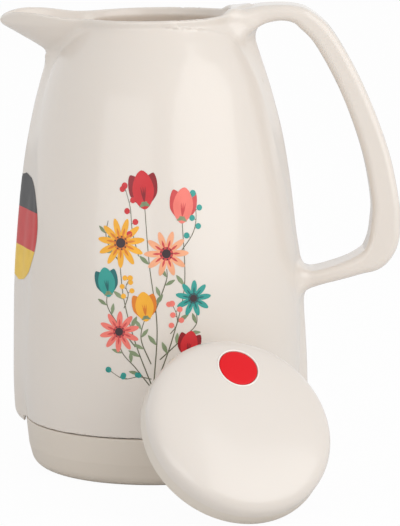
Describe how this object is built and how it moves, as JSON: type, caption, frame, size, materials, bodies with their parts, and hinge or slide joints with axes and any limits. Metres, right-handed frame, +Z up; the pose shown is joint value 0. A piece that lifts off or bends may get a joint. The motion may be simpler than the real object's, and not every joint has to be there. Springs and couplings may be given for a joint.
{
  "type": "insulated serving jug",
  "caption": "Insulated serving jug with a short spout, loop handle, twist-off base, double-walled glass insert and a lift-off dome lid with a twist valve.",
  "frame": {"origin": "centre of the flat foot, on the table", "axes": "+Z up along the jug's axis, +X towards the handle, -X towards the spout, the lid lies on the -Y side"},
  "size_m": [0.1878, 0.2174, 0.2188],
  "materials": {
    "shell_plastic": "semi-gloss",
    "lid_plastic": "semi-gloss",
    "base_plastic": "satin",
    "inner_plastic": "satin",
    "red_plastic": "gloss",
    "silicone": "matte",
    "grey_rubber": "matte",
    "foam": "matte",
    "flask_glass": "polished",
    "spacer_metal": "satin",
    "spring_steel": "brushed"
  },
  "bodies": {
    "jug": {"outer_shell": "shell_plastic", "handle": "shell_plastic", "pouring_collar": "inner_plastic", "neck_seal": "silicone", "glass_flask": "flask_glass", "glass_spacers": "spacer_metal", "centring_ring": "foam", "bayonet_ring": "shell_plastic"},
    "base": {"base_cap": "base_plastic", "base_seal": "grey_rubber", "base_cushion": "grey_rubber"},
    "stopper": {"stopper_body": "base_plastic", "hub_clip": "spring_steel", "stopper_seal": "silicone"},
    "lid": {"lid_dome": "lid_plastic", "pour_mark": "red_plastic", "drive_hub": "inner_plastic", "insulation_puck": "foam"},
    "valve": {"valve_spindle": "spring_steel", "valve_disc": "inner_plastic", "valve_seal": "silicone", "spindle_screw": "spring_steel"}
  },
  "joints": [
    {"name": "lid_lift", "type": "slide", "parent": "jug", "child": "stopper", "axis": [0, 0, 1], "range_m": [0, 0.25]},
    {"name": "lid_twist", "type": "hinge", "parent": "stopper", "child": "lid", "pos_m": [0.0327, -0.1113, 0.0342], "axis": [0.3398, -0.7091, 0.6178], "range_deg": [0, 90]},
    {"name": "valve_lift", "type": "slide", "parent": "stopper", "child": "valve", "axis": [0.3398, -0.7091, 0.6178], "range_m": [0, 0.004]},
    {"name": "base_twist", "type": "hinge", "parent": "jug", "child": "base", "pos_m": [0, 0, 0], "axis": [0, 0, 1], "range_deg": [0, 60]}
  ],
  "couplings": [
    {"joint": "valve_lift", "follows": "lid_twist", "m_per_rad": 0.0025464}
  ]
}
